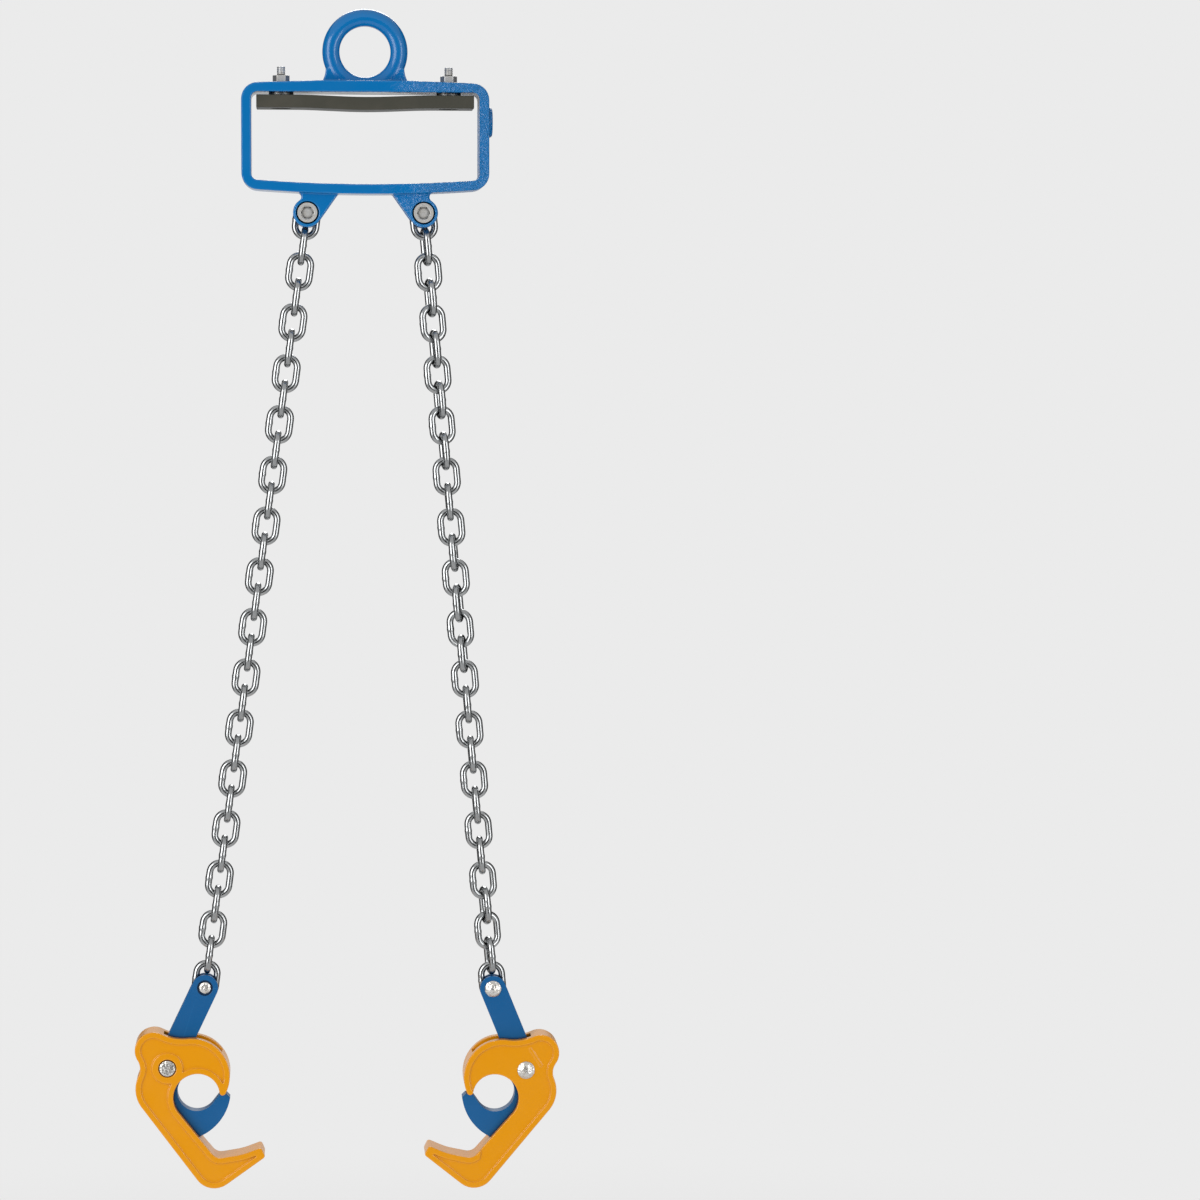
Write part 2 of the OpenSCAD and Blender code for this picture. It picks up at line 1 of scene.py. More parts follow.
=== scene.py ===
# %% [markdown]
# # A chain drum lifter, dressed for its picture
# The solids of the lifter come in first, as a fixed frame in metres: the lifting eye is at the origin and
# the two chain legs hang down from the fork sleeve. Everything made below is placed from that frame, so
# each piece sits where the solid sits and moves with the same body.

import json
import math

import bmesh
import bpy
from mathutils import Matrix, Vector


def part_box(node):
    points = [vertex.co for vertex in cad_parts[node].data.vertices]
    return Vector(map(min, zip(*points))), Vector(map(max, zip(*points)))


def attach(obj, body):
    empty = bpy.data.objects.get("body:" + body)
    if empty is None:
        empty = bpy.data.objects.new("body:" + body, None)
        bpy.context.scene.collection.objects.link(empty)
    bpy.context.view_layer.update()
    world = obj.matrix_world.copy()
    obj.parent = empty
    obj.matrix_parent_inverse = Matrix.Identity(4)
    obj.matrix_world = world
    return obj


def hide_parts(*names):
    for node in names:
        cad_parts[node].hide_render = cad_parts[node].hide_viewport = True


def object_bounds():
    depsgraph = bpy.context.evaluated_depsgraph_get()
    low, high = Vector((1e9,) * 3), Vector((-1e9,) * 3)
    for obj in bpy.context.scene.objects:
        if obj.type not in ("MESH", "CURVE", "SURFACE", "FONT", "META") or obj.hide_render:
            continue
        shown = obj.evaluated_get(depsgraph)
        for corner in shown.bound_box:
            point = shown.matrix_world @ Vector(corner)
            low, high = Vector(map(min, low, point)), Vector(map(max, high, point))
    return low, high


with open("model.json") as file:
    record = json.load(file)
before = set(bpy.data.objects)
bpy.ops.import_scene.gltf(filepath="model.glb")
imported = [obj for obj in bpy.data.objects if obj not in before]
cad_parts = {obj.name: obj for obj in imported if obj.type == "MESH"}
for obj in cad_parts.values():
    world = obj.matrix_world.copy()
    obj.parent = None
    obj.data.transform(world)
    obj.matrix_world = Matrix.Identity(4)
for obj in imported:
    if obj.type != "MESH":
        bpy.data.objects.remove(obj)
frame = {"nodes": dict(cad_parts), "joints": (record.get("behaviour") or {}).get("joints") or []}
cad_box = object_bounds()
MM = 0.001
JOINTS = {joint["name"]: joint for joint in frame["joints"]}
SIDES = ("left", "right")

# %% [markdown]
# ## Camera
# The lifter was photographed from the front with a long lens, a little below the fork sleeve, so the top
# bar is seen from underneath and the clamps from above. A short lens close by would show far too much of
# the sides. The place, turn and lens here are the ones at which the bolts, pins and corners fall where
# they do in the picture.

# %% Place the camera
CAMERA_AT = Vector((-63.2, -3763.4, -265.1)) * MM
CAMERA_YAW, CAMERA_PITCH, CAMERA_ROLL = 0.0753, -0.0655, 0.0018
LENS_MM, SENSOR_MM = 120.08, 36.0
SEES_TO_M = 60

camera = bpy.data.objects.new("camera", bpy.data.cameras.new("camera"))
bpy.context.scene.collection.objects.link(camera)
camera.data.lens = LENS_MM
camera.data.sensor_width = SENSOR_MM
camera.data.clip_end = SEES_TO_M
camera.location = CAMERA_AT
camera.rotation_euler = (math.pi / 2 + CAMERA_PITCH, 0, -CAMERA_YAW)
camera.rotation_euler.rotate_axis("Z", CAMERA_ROLL)
bpy.context.scene.camera = camera
bpy.context.scene.view_settings.view_transform = "Standard"
print("camera", round(CAMERA_AT.length, 3), "m from the lifting eye, lens", LENS_MM, "mm")

# %% [markdown]
# ## Colours and nodes
# Colours are written as they are read from a screen, as sRGB hex values, and a shader works in linear
# light, so one function turns the one into the other. A second function adds a shader node, sets its
# values and joins its inputs. Both keep the materials below short enough to read as recipes.

# %% Colour and node helpers
COLOURS = {"data_type": "RGBA"}
PRODUCT = {"operation": "MULTIPLY"}


def linear(hex_colour):
    """An sRGB colour such as #056EB0 as linear RGBA."""
    parts = [int(hex_colour[i:i + 2], 16) / 255 for i in (1, 3, 5)]
    return [c / 12.92 if c <= 0.04045 else ((c + 0.055) / 1.055) ** 2.4 for c in parts] + [1.0]


def add_node(tree, kind, settings=None, **inputs):
    """Adds a node; an input is a value or another node's output socket, named with _ for a space."""
    node = tree.nodes.new(kind)
    for name, value in (settings or {}).items():
        setattr(node, name, value)
    for name, value in inputs.items():
        key = int(name[1:]) if name[1:].isdigit() else name.replace("_", " ")
        socket = node.inputs[key]
        if isinstance(value, bpy.types.NodeSocket):
            tree.links.new(value, socket)
        else:
            socket.default_value = value
    return node


print("enamel blue in linear light:", [round(c, 3) for c in linear("#056EB0")])

# %% [markdown]
# ## Backdrop and light
# The lifter hangs in front of a plain pale grey wall. The world is that grey for the camera, a little
# dimmer in reflections, and a weaker, even light for everything else. The floor is a pale sheet well
# below the clamps that fades out into the wall, so that it takes the shadow of the lifter and has no
# edge.

# %% World and floor
WALL_GREY = "#EBEBEB"
FLOOR_GAP = 350 * MM
FLOOR_SOLID, FLOOR_END = 0.7, 1.9
FILL_LEVEL, SHINE_LEVEL = 0.5, 0.8

world = bpy.data.worlds.new("pale_wall")
bpy.context.scene.world = world
world.use_nodes = True
tree = world.node_tree
tree.nodes.clear()
path = add_node(tree, "ShaderNodeLightPath")
seen = add_node(tree, "ShaderNodeMath", {"operation": "MAXIMUM"}, i0=path.outputs["Is Camera Ray"],
                i1=path.outputs["Is Transmission Ray"])
fill = add_node(tree, "ShaderNodeBackground", Color=(1, 1, 1, 1), Strength=FILL_LEVEL)
shine = add_node(tree, "ShaderNodeBackground", Color=linear(WALL_GREY), Strength=SHINE_LEVEL)
wall = add_node(tree, "ShaderNodeBackground", Color=linear(WALL_GREY), Strength=1.0)
mixed = add_node(tree, "ShaderNodeMixShader", Fac=path.outputs["Is Glossy Ray"], i1=fill.outputs[0],
                 i2=shine.outputs[0])
mixed = add_node(tree, "ShaderNodeMixShader", Fac=seen.outputs[0], i1=mixed.outputs[0], i2=wall.outputs[0])
add_node(tree, "ShaderNodeOutputWorld", Surface=mixed.outputs[0])

floor_z = cad_box[0][2] - FLOOR_GAP
bpy.ops.mesh.primitive_plane_add(size=2 * FLOOR_END, location=(0, 0, floor_z))
floor = bpy.context.object
floor.name = "floor"
paper = bpy.data.materials.new("pale_paper_floor")
paper.use_nodes = True
tree = paper.node_tree
tree.nodes.clear()
place = add_node(tree, "ShaderNodeTexCoord")
reach = add_node(tree, "ShaderNodeVectorMath", {"operation": "LENGTH"}, i0=place.outputs["Object"])
fade = add_node(tree, "ShaderNodeMapRange", {"interpolation_type": "SMOOTHSTEP"},
                Value=reach.outputs["Value"], From_Min=FLOOR_SOLID, From_Max=FLOOR_END)
sheet = add_node(tree, "ShaderNodeBsdfDiffuse", Color=linear(WALL_GREY))
clear = add_node(tree, "ShaderNodeBsdfTransparent")
mixed = add_node(tree, "ShaderNodeMixShader", Fac=fade.outputs[0], i1=sheet.outputs[0], i2=clear.outputs[0])
add_node(tree, "ShaderNodeOutputMaterial", Surface=mixed.outputs[0])
floor.data.materials.append(paper)
print("floor at", round(floor_z, 3), "m")

# %% [markdown]
# Three soft lamps do the rest: a main lamp from the left of the camera, a narrower one from the right and
# one from above and behind, which lights the tops of the bars and the back. Large lamps give the long,
# soft-edged highlights of enamel; small ones would give hard white dots on every link. Dark cards that
# only reflections see stand behind the camera and to both sides, a little behind the lifter. They keep
# flat enamel deep in colour and draw the dark edges and the dark core of each bright link, and the gap
# between them leaves the pale wall to the faces that are seen at a grazing angle.

# %% Lamps and dark cards
CENTRE = Vector((0, 0, -0.5))


def area_lamp(name, at, width, height, power):
    """A soft box that faces the middle of the lifter."""
    lamp = bpy.data.objects.new(name, bpy.data.lights.new(name, "AREA"))
    lamp.data.shape = "RECTANGLE"
    lamp.data.size = width
    lamp.data.size_y = height
    lamp.data.energy = power
    lamp.location = at
    lamp.visible_camera = False
    lamp.rotation_euler = (CENTRE - Vector(at)).to_track_quat("-Z", "Y").to_euler()
    bpy.context.scene.collection.objects.link(lamp)


area_lamp("main_lamp", at=(-2.1, -2.1, -0.1), width=1.5, height=2.4, power=46)
area_lamp("side_lamp", at=(2.0, -2.4, -0.3), width=0.8, height=2.4, power=26)
area_lamp("back_lamp", at=(0.3, 2.6, 1.3), width=1.4, height=1.4, power=34)

dark = bpy.data.materials.new("dark_card")
dark.use_nodes = True
dark.node_tree.nodes["Principled BSDF"].inputs["Base Color"].default_value = linear("#101010")
CARD_HEIGHT, FRONT_WIDTH, SIDE_WIDTH, SIDE_TURN = 3.4, 2.8, 2.7, 0.905
CARDS = {"behind_camera": ((0, -4.4, -0.8), FRONT_WIDTH, 0.0),
         "left": ((-1.38, 0.85, -0.5), SIDE_WIDTH, SIDE_TURN),
         "right": ((1.38, 0.85, -0.5), SIDE_WIDTH, -SIDE_TURN)}
for name, (at, width, turn) in CARDS.items():
    bpy.ops.mesh.primitive_plane_add(size=1, location=at, rotation=(math.pi / 2, 0, turn))
    card = bpy.context.object
    card.name = f"dark_card_{name}"
    card.scale = (width, CARD_HEIGHT, 1)
    card.visible_camera = card.visible_diffuse = False
    card.visible_shadow = card.visible_transmission = False
    card.data.materials.append(dark)

# %% [markdown]
# ## Blue enamel of the head
# The eye, the fork sleeve and the lugs are one iron casting, sprayed with gloss enamel. The paint draws
# into a soft orange peel, and where the sand skin of the casting is coarse, towards the right end, the
# paint follows it and sparkles. A picture of paint would do from one side only, so the patterns are
# noises in the space of the piece: one for the peel, one for the grit, and a wide one that decides how
# far the grit reaches.

# %% Sprayed enamel
def new_material(name):
    """An empty material, and the object-space position that its patterns are built on."""
    material = bpy.data.materials.new(name)
    material.use_nodes = True
    material.node_tree.nodes.clear()
    place = add_node(material.node_tree, "ShaderNodeTexCoord")
    return material, material.node_tree, place.outputs["Object"]


def per_metre(mm):
    """Noise scale for a pattern whose grains are that many millimetres across."""
    return 1 / (mm * MM)


# where a noise, the pointiness of an edge or the openness of a corner (for the painted corner shade) starts
# and stops to count
NOISE_LOW, NOISE_HIGH = 0.3, 0.7
EDGE_LOW, EDGE_HIGH, EDGE_SHARE = 0.515, 0.6, 0.6
CORNER_LOW, CORNER_HIGH, CORNER_SHARE = 0.4, 0.92, 0.95
AO_SAMPLES = {"samples": 8}
CLOUD_MM, BUMP = 30, 0.3
GLOSS_BELOW, GLOSS_ABOVE = 0.04, 0.05
ENAMEL_IOR = 1.5
# the real grit is half a millimetre across; it is drawn four times as coarse so that it shows
GRIT_MM, GRIT_BUMP, GRIT_HEIGHT = 2.2, 1.0, 3.0 * MM
GRIT_WANDER, GRIT_FADE = 70 * MM, 45 * MM
# the eye above the bar was dressed smooth
SMOOTH_ABOVE, ROUGH_BELOW, EYE_GRIT = -12 * MM, -30 * MM, 0.06


def enamel(name, colour, thin, corner_shade_colour, shade_reach_mm, rough, peel_mm, peel_height_mm, grit_from=None):
    """Sprayed enamel: glossy, with orange peel, thin paler paint on edges and painted shade in corners."""
    material, tree, at = new_material(name)
    cloud = add_node(tree, "ShaderNodeTexNoise", Vector=at, Scale=per_metre(CLOUD_MM), Detail=3)
    # paint is thinner, so paler, on the edges that stand out
    edge = add_node(tree, "ShaderNodeNewGeometry")
    worn = add_node(tree, "ShaderNodeMapRange", Value=edge.outputs["Pointiness"], From_Min=EDGE_LOW,
                    From_Max=EDGE_HIGH, To_Max=EDGE_SHARE)
    body = add_node(tree, "ShaderNodeMix", COLOURS, i0=worn.outputs[0], i6=linear(colour), i7=linear(thin))
    # painted shade: the colour darkens towards the corner shade colour in corners and gaps, where less
    # light reaches
    gap = add_node(tree, "ShaderNodeAmbientOcclusion", AO_SAMPLES, Distance=shade_reach_mm * MM)
    painted_shade = add_node(tree, "ShaderNodeMapRange", Value=gap.outputs["AO"], From_Min=CORNER_LOW,
                      From_Max=CORNER_HIGH, To_Min=CORNER_SHARE, To_Max=0.0)
    body = add_node(tree, "ShaderNodeMix", COLOURS, i0=painted_shade.outputs[0], i6=body.outputs[2],
                    i7=linear(corner_shade_colour))
    peel = add_node(tree, "ShaderNodeTexNoise", Vector=at, Scale=per_metre(peel_mm), Detail=2)
    skin = add_node(tree, "ShaderNodeBump", Height=peel.outputs["Fac"], Strength=BUMP,
                    Distance=peel_height_mm * MM)
    if grit_from is not None:
        side = add_node(tree, "ShaderNodeSeparateXYZ", Vector=at)
        reach = add_node(tree, "ShaderNodeMath", {"operation": "MULTIPLY_ADD"}, i0=cloud.outputs["Fac"],
                         i1=GRIT_WANDER, i2=side.outputs["X"])
        share = add_node(tree, "ShaderNodeMapRange", Value=reach.outputs[0], From_Min=grit_from,
                         From_Max=grit_from + GRIT_FADE)
        below = add_node(tree, "ShaderNodeMapRange", Value=side.outputs["Z"], From_Min=SMOOTH_ABOVE,
                         From_Max=ROUGH_BELOW, To_Min=EYE_GRIT)
        share = add_node(tree, "ShaderNodeMath", PRODUCT, i0=share.outputs[0], i1=below.outputs[0])
        grit = add_node(tree, "ShaderNodeTexNoise", Vector=at, Scale=per_metre(GRIT_MM), Detail=1)
        lumps = add_node(tree, "ShaderNodeMath", PRODUCT, i0=grit.outputs["Fac"], i1=share.outputs[0])
        skin = add_node(tree, "ShaderNodeBump", Height=lumps.outputs[0], Normal=skin.outputs[0],
                        Strength=GRIT_BUMP, Distance=GRIT_HEIGHT)
    gloss = add_node(tree, "ShaderNodeMapRange", Value=cloud.outputs["Fac"], From_Min=NOISE_LOW,
                     From_Max=NOISE_HIGH, To_Min=rough - GLOSS_BELOW, To_Max=rough + GLOSS_ABOVE)
    shader = add_node(tree, "ShaderNodeBsdfPrincipled", Base_Color=body.outputs[2],
                      Roughness=gloss.outputs[0], Normal=skin.outputs[0], IOR=ENAMEL_IOR)
    add_node(tree, "ShaderNodeOutputMaterial", Surface=shader.outputs[0])
    return material


GRIT_FROM = 55 * MM
blue_enamel = enamel("blue_gloss_enamel", "#056EB0", thin="#2A88C5", corner_shade_colour="#062E52", shade_reach_mm=1.6,
                     rough=0.15, peel_mm=2.0, peel_height_mm=0.15, grit_from=GRIT_FROM)
print("made", blue_enamel.name)

# %% [markdown]
# ## The other two enamels
# The levers are forged and dipped in a darker, flatter blue. The clamp castings are sprayed orange, which
# runs thin on their edges and leaves them paler. Both are the same kind of paint as the head's, so the
# same recipe makes them, with their own colours, gloss and peel.

# %% Lever blue and casting orange
lever_enamel = enamel("dark_blue_satin_enamel", "#00568F", thin="#1E6CA6", corner_shade_colour="#04182C", shade_reach_mm=3.0,
                      rough=0.32, peel_mm=1.4, peel_height_mm=0.1)
casting_enamel = enamel("orange_enamel_on_casting", "#E3960A", thin="#EDA631", corner_shade_colour="#9A5406", shade_reach_mm=3.4,
                        rough=0.2, peel_mm=3.5, peel_height_mm=0.12)
print("made", lever_enamel.name, "and", casting_enamel.name)

# %% [markdown]
# ## Bright chain and zinc-plated fasteners
# The chain is tumbled until it is bright, so it mirrors the room in long clean lines along its wire. The
# bolts, studs and nuts are zinc plated, which is paler and duller. The pins and rivets are bare steel
# closed with a hammer, whose blows leave bright and dark facets on their ends. All three are metals, so
# nearly all of their look is roughness and what they reflect, and one recipe makes them.

# %% Metals
TINT_LOW, TINT_HIGH = 0.4, 0.65
# painted shade in sockets, crevices and contact rings: its colour, its reach, and where it starts and stops
CREVICE_SHADE, CREVICE_SHADE_REACH = "#242526", 2.8 * MM
CREVICE_SHADE_LOW, CREVICE_SHADE_HIGH, CREVICE_SHADE_SHARE = 0.4, 0.85, 0.9


def bare_metal(name, colour, patch, patch_mm, smooth, dull, marks_mm, marks_height_mm):
    """A metal with patches of tint, uneven gloss, fine marks and painted shade in crevices."""
    material, tree, at = new_material(name)
    patches = add_node(tree, "ShaderNodeTexNoise", Vector=at, Scale=per_metre(patch_mm), Detail=3)
    share = add_node(tree, "ShaderNodeMapRange", Value=patches.outputs["Fac"], From_Min=TINT_LOW,
                     From_Max=TINT_HIGH)
    tint = add_node(tree, "ShaderNodeMix", COLOURS, i0=share.outputs[0], i6=linear(colour),
                    i7=linear(patch))
    # painted shade: darker in sockets, crevices and where pieces touch, where less light reaches
    gap = add_node(tree, "ShaderNodeAmbientOcclusion", AO_SAMPLES, Distance=CREVICE_SHADE_REACH)
    crevice_shaded = add_node(tree, "ShaderNodeMapRange", Value=gap.outputs["AO"], From_Min=CREVICE_SHADE_LOW,
                     From_Max=CREVICE_SHADE_HIGH, To_Min=CREVICE_SHADE_SHARE, To_Max=0.0)
    tint = add_node(tree, "ShaderNodeMix", COLOURS, i0=crevice_shaded.outputs[0], i6=tint.outputs[2],
                    i7=linear(CREVICE_SHADE))
    gloss = add_node(tree, "ShaderNodeMapRange", Value=patches.outputs["Fac"], From_Min=NOISE_LOW,
                     From_Max=NOISE_HIGH, To_Min=smooth, To_Max=dull)
    marks = add_node(tree, "ShaderNodeTexNoise", Vector=at, Scale=per_metre(marks_mm), Detail=2)
    skin = add_node(tree, "ShaderNodeBump", Height=marks.outputs["Fac"], Strength=BUMP,
                    Distance=marks_height_mm * MM)
    shader = add_node(tree, "ShaderNodeBsdfPrincipled", Base_Color=tint.outputs[2], Metallic=1,
                      Roughness=gloss.outputs[0], Normal=skin.outputs[0])
    add_node(tree, "ShaderNodeOutputMaterial", Surface=shader.outputs[0])
    return material


chain_steel = bare_metal("bright_tumbled_chain_steel", "#B4B6B7", "#A2A4A5", patch_mm=14, smooth=0.17,
                         dull=0.24, marks_mm=12, marks_height_mm=0.05)
zinc_plate = bare_metal("zinc_plated_fastener_steel", "#DEDEDD", "#C9C6C0", patch_mm=4, smooth=0.4,
                        dull=0.52, marks_mm=1.6, marks_height_mm=0.2)
rivet_steel = bare_metal("hammered_rivet_steel", "#E8E6E2", "#CFCBC3", patch_mm=5, smooth=0.2,
                         dull=0.36, marks_mm=3.0, marks_height_mm=4.4)
print("made", chain_steel.name + ",", zinc_plate.name, "and", rivet_steel.name)

# %% [markdown]
# ## Wear pad
# The pad under the top bar is a strip of dense, dark rubber that keeps the fork tine from sliding. Cut
# rubber is matt with a fine grain and goes greyer where it is rubbed. The grain is a noise of half a
# millimetre and the rubbed patches one of a few centimetres.

# %% Dense rubber
RUBBED_MM, RUBBED_LOW, RUBBED_HIGH = 35, 0.45, 0.75
GRAIN_MM, GRAIN_BUMP, GRAIN_HEIGHT = 0.5, 0.25, 0.1 * MM
RUBBER_ROUGH, RUBBER_IOR = 0.45, 1.52


def dense_rubber(name, colour, rubbed):
    """Cut olive-black rubber: fine grain, dull sheen and greyer rubbed patches."""
    material, tree, at = new_material(name)
    patches = add_node(tree, "ShaderNodeTexNoise", Vector=at, Scale=per_metre(RUBBED_MM), Detail=5)
    share = add_node(tree, "ShaderNodeMapRange", Value=patches.outputs["Fac"], From_Min=RUBBED_LOW,
                     From_Max=RUBBED_HIGH)
    skin = add_node(tree, "ShaderNodeMix", COLOURS, i0=share.outputs[0], i6=linear(colour),
                    i7=linear(rubbed))
    grain = add_node(tree, "ShaderNodeTexNoise", Vector=at, Scale=per_metre(GRAIN_MM), Detail=3)
    rough = add_node(tree, "ShaderNodeBump", Height=grain.outputs["Fac"], Strength=GRAIN_BUMP,
                     Distance=GRAIN_HEIGHT)
    shader = add_node(tree, "ShaderNodeBsdfPrincipled", Base_Color=skin.outputs[2], Roughness=RUBBER_ROUGH,
                      IOR=RUBBER_IOR, Normal=rough.outputs[0])
    add_node(tree, "ShaderNodeOutputMaterial", Surface=shader.outputs[0])
    return material


pad_rubber = dense_rubber("dense_olive_rubber", "#3A392F", "#47443A")
print("made", pad_rubber.name)

# %% [markdown]
# ## Pieces made from the solids
# The solids have dead sharp edges, and nothing cast, forged or turned does. A copy of a solid with its
# flat faces made whole again can take a Bevel modifier, which rounds every edge of a machined piece by
# the same small radius. A casting is softer still: there a voxel Remesh fuses the solids into one skin
# and a Smooth modifier runs fillets into the corners.

# %% Copies of the solids that can take modifiers
SAME_POINT = 2e-6
FLAT, SHARP = math.radians(0.5), math.radians(35)


def add_piece(name, data, body, slot, *nodes):
    """A piece with its own mesh, which moves with a body and stands for some CAD nodes."""
    piece = bpy.data.objects.new(name, data)
    bpy.context.scene.collection.objects.link(piece)
    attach(piece, body)
    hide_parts(*nodes)
    return piece


def mesh_data(name, mesh, material):
    """Finished mesh data, smooth shaded, from a mesh that was being built."""
    for face in mesh.faces:
        face.smooth = True
    data = bpy.data.meshes.new(name)
    mesh.to_mesh(data)
    mesh.free()
    data.materials.append(material)
    return data


def copy_of_solids(name, nodes, body, slot, material):
    """One new piece from some CAD nodes, with joined corners and whole flat faces."""
    mesh = bmesh.new()
    for node in nodes:
        mesh.from_mesh(frame["nodes"][node].data)
    for face in mesh.faces:
        face.material_index = 0
    bmesh.ops.remove_doubles(mesh, verts=mesh.verts, dist=SAME_POINT)
    bmesh.ops.dissolve_limit(mesh, angle_limit=FLAT, verts=mesh.verts, edges=mesh.edges)
    return add_piece(name, mesh_data(name, mesh, material), body, slot, *nodes)


def round_edges(piece, radius_mm):
    """Rounds the sharp edges of a machined piece."""
    bevel = piece.modifiers.new("rounded_edges", "BEVEL")
    bevel.width = radius_mm * MM
    bevel.segments = 3
    bevel.limit_method = "ANGLE"
    bevel.angle_limit = SHARP
    bevel.miter_outer = "MITER_ARC"
    normals = piece.modifiers.new("flat_faces_stay_flat", "WEIGHTED_NORMAL")
    normals.keep_sharp = True


def cast_skin(piece, voxel_mm, passes, keep):
    """Fuses a piece into one skin with soft edges and filleted corners."""
    remesh = piece.modifiers.new("one_skin", "REMESH")
    remesh.mode = "VOXEL"
    remesh.voxel_size = voxel_mm * MM
    remesh.use_smooth_shade = True
    smooth = piece.modifiers.new("soft_edges", "SMOOTH")
    smooth.factor = 0.5
    smooth.iterations = passes
    thin = piece.modifiers.new("fewer_faces", "DECIMATE")
    thin.ratio = keep


HEAD_CASTING = ["head_frame", "lifting_eye", "left_lug", "right_lug"]
head = copy_of_solids("cast_head", HEAD_CASTING, "head", "blue_enamel", blue_enamel)
cast_skin(head, voxel_mm=0.8, passes=5, keep=0.5)
print("cast head from", len(head.data.polygons), "faces")

# %% [markdown]
# ## Clamps and levers
# Each clamp is a slotted casting with a raised rim round its faces, and a forged lever that turns in the
# slot on a rivet. The castings take the same soft skin as the head, in finer voxels so that the rim
# stays. The levers are trimmed after forging, so their edges are only broken by a bevel.

# %% Castings and levers
for side in SIDES:
    casting = copy_of_solids(f"{side}_clamp_casting", [f"{side}_clamp_body"], f"{side}_clamp",
                             "orange_enamel", casting_enamel)
    cast_skin(casting, voxel_mm=0.45, passes=7, keep=0.4)
    lever = copy_of_solids(f"{side}_forged_lever", [f"{side}_lever"], f"{side}_lever", "dark_blue_enamel",
                           lever_enamel)
    round_edges(lever, radius_mm=0.7)
    for part, body in (("chain_pin", "lever"), ("pivot_rivet", "clamp")):
        pin = copy_of_solids(f"{side}_{part}_headed", [f"{side}_{part}"], f"{side}_{body}",
                             "zinc_plated_steel", rivet_steel)
        round_edges(pin, radius_mm=0.4)
print("clamps dressed:", SIDES)

# %% [markdown]
# ## Bolts, nuts and the pad
# The lug bolts have socket heads that sit in counterbores, and the pad hangs on two studs with hexagon
# nuts on top of the bar. Bolts, nuts and discs are turned or pressed pieces with small even edge radii,
# so they take the bevel, and so does the pad, whose edges are rubbed round.

# %% Small pieces of the head
EDGE_RADIUS_MM = {"left_lug_bolt": 0.5, "right_lug_bolt": 0.5, "lug_nuts": 0.5, "pad_nuts": 0.4,
                  "pad_spacers": 0.3}
for node, radius in EDGE_RADIUS_MM.items():
    fastener = copy_of_solids(f"{node}_plated", [node], "head", "zinc_plated_steel", zinc_plate)
    round_edges(fastener, radius)
pad = copy_of_solids("fork_pad_strip", ["fork_pad"], "head", "pad_rubber", pad_rubber)
round_edges(pad, radius_mm=0.8)
print("fasteners and pad dressed")

# %% [markdown]
# ## Threaded studs
# The studs stand bare above their nuts, so their thread shows. A thread is a groove that climbs as it
# goes round: the stud is a grid of points round its axis, and each point above the bar is drawn in by the
# depth of the groove at its height and angle. That keeps the solid's own size, which a Screw modifier
# laid over it would not. An M8 thread climbs 1.25 mm a turn; it is drawn a little coarser so that it
# shows.

# %% Two studs as one threaded piece
STUD_R, STUD_HEAD_R, STUD_HEAD_T, STUD_EDGE = 4.0 * MM, 9.0 * MM, 4.0 * MM, 0.5 * MM
THREAD_PITCH, THREAD_DEPTH, THREAD_ROWS = 1.6 * MM, 0.6 * MM, 8
STUD_COLUMNS = 32


def join_rings(mesh, rings):
    """Faces between each ring of points and the next one."""
    for ring, following in zip(rings, rings[1:]):
        for i in range(len(ring)):
            j = (i + 1) % len(ring)
            mesh.faces.new((ring[i], ring[j], following[j], following[i]))


def thread_groove(z, turn):
    """Depth of the groove at a height and a share of a turn: none on a crest, all of it in a root."""
    climb = (z / THREAD_PITCH - turn) % 1
    return THREAD_DEPTH * (1 - abs(2 * climb - 1))


def stud_rows(foot, top, thread_from):
    """Heights and radii up a stud, and the share of the thread at each."""
    rows = [(foot, STUD_HEAD_R - STUD_EDGE, 0), (foot + STUD_EDGE, STUD_HEAD_R, 0),
            (foot + STUD_HEAD_T, STUD_HEAD_R, 0), (foot + STUD_HEAD_T, STUD_R, 0), (thread_from, STUD_R, 0)]
    count = round((top - thread_from) / THREAD_PITCH * THREAD_ROWS)
    step = (top - thread_from) / count
    rows += [(thread_from + i * step, STUD_R, 1) for i in range(1, count)]
    return rows + [(top, STUD_R - THREAD_DEPTH, 0)]


low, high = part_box("pad_studs")
bar_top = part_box("pad_nuts")[0].z
mesh = bmesh.new()
for x in (low.x + STUD_HEAD_R, high.x - STUD_HEAD_R):
    rings = []
    for z, radius, share in stud_rows(low.z, high.z, bar_top):
        turns = [i / STUD_COLUMNS for i in range(STUD_COLUMNS)]
        radii = [radius - share * thread_groove(z - bar_top, t) for t in turns]
        angles = [2 * math.pi * t for t in turns]
        rings.append([mesh.verts.new((x + r * math.cos(a), r * math.sin(a), z))
                      for r, a in zip(radii, angles)])
    join_rings(mesh, rings)
    mesh.faces.new(list(reversed(rings[0])))
    mesh.faces.new(rings[-1])
studs = add_piece("pad_studs_threaded", mesh_data("pad_studs_threaded", mesh, zinc_plate), "head",
                  "zinc_plated_steel", "pad_studs")
print("studs:", len(studs.data.polygons), "faces, thread from", round(bar_top * 1000, 1), "mm")

# %% [markdown]
# ## Chain links
# A link is a length of round wire bent to a stadium shape and flash-welded in the middle of one long
# side, which leaves a small thick ring there. It is one mesh, made by carrying a circle round the stadium
# line and letting it swell at the weld, and every link of both legs shares it.

# %% One welded link
WIRE_MM, PITCH_MM, INSIDE_MM, LINK_PLAY_MM = 6.4, 24.0, 13.0, 0.3
WELD_SWELL_MM, WELD_HALF_MM = 0.35, 1.6
ROUND_STEPS, SIDE_STEPS, WIRE_STEPS = 20, 10, 24
ACROSS = Vector((0, 1, 0))


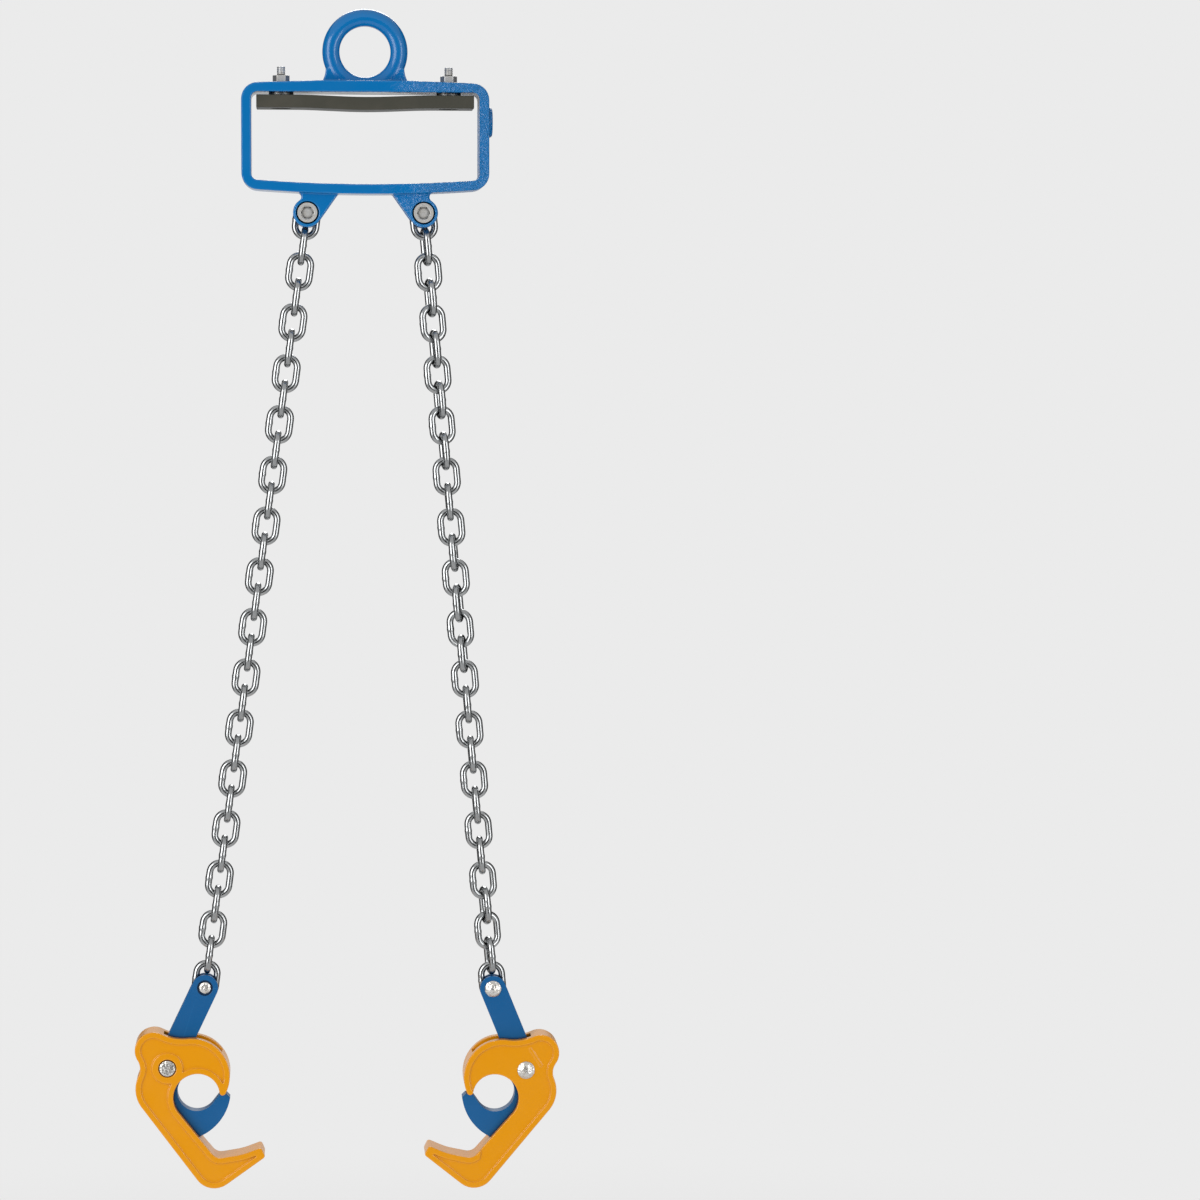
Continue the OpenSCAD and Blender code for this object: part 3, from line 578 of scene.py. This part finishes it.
def link_line():
    """Points, outward directions and weld share round the stadium line of a link, in millimetres."""
    bend = (INSIDE_MM + WIRE_MM) / 2
    half = (PITCH_MM + LINK_PLAY_MM + WIRE_MM) / 2 - bend
    line = []
    for end in (1, -1):
        for i in range(ROUND_STEPS + 1):
            turn = math.pi * i / ROUND_STEPS
            outward = Vector((math.cos(turn), 0, math.sin(turn))) * end
            line.append((outward * bend + Vector((0, 0, half * end)), outward, 0.0))
        for i in range(1, SIDE_STEPS):
            z = half * (1 - 2 * i / SIDE_STEPS) * end
            outward = Vector((-end, 0, 0))
            weld = math.exp(-(z / WELD_HALF_MM) ** 2) if end == 1 else 0.0
            line.append((outward * bend + Vector((0, 0, z)), outward, weld))
    return line


mesh = bmesh.new()
rings = []
for centre, outward, weld in link_line():
    radius = WIRE_MM / 2 + WELD_SWELL_MM * weld
    turns = [2 * math.pi * i / WIRE_STEPS for i in range(WIRE_STEPS)]
    ways = [math.cos(a) * outward + math.sin(a) * ACROSS for a in turns]
    rings.append([mesh.verts.new((centre + radius * way) * MM) for way in ways])
join_rings(mesh, rings + rings[:1])
bmesh.ops.recalc_face_normals(mesh, faces=mesh.faces)
link = mesh_data("welded_link", mesh, chain_steel)
print("one link:", len(link.polygons), "faces")

# %% [markdown]
# ## Hanging the chain
# Each leg runs straight from its lug bolt to the pin of its lever, so a link's place is the first link's
# place and so many pitches along that line. Odd links lie flat to the camera and even ones are turned a
# quarter. The right leg does not hang as straight as the left: near its ends and its middle some links
# have turned about the leg, as far as their neighbours let them, so they show both sides of their wire.

# %% Hang the links
LINKS = 2 * sum(1 for node in frame["nodes"] if node.startswith("left_links_")) + 1
# turn of single links about the leg, in degrees, small enough to leave each joint its room
TWISTED = {"left": {},
           "right": {2: 10, 3: 10, 4: 12, 5: 18, 6: 10, 7: 10, 8: 12, 9: 18, 10: 8, 14: -8, 15: -10,
                     16: -12, 17: -18, 18: -10, 19: -8, 27: 8, 28: 12, 29: 18, 30: 10}}


def node_of_link(side, k):
    """The CAD node and the body that hold link k of a leg."""
    if k == 1:
        return f"{side}_top_link", f"{side}_link_01"
    first = k - k % 2
    pair = f"{side}_links_{first:02d}_{first + 1:02d}"
    return pair, pair


for side in SIDES:
    bolt = Vector(JOINTS[f"{side}_lug_swing"]["pos_m"])
    pin = Vector(JOINTS[f"{side}_lever_swing"]["pos_m"])
    down = (pin - bolt).normalized()
    lean = Vector((0, 0, -1)).rotation_difference(down).to_matrix().to_4x4()
    low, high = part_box(f"{side}_top_link")
    for k in range(1, LINKS + 1):
        node, body = node_of_link(side, k)
        piece = add_piece(f"{side}_chain_link_{k:02d}", link, body, "chain_steel", node)
        centre = (low + high) / 2 + down * (k - 1) * PITCH_MM * MM
        quarter = math.pi / 2 if k % 2 == 0 else 0.0
        twist = math.radians(TWISTED[side].get(k, 0))
        piece.matrix_world = Matrix.Translation(centre) @ lean @ Matrix.Rotation(quarter + twist, 4, "Z")
    print(side, "leg of", LINKS, "links,", round((pin - bolt).length * 1000, 1), "mm")
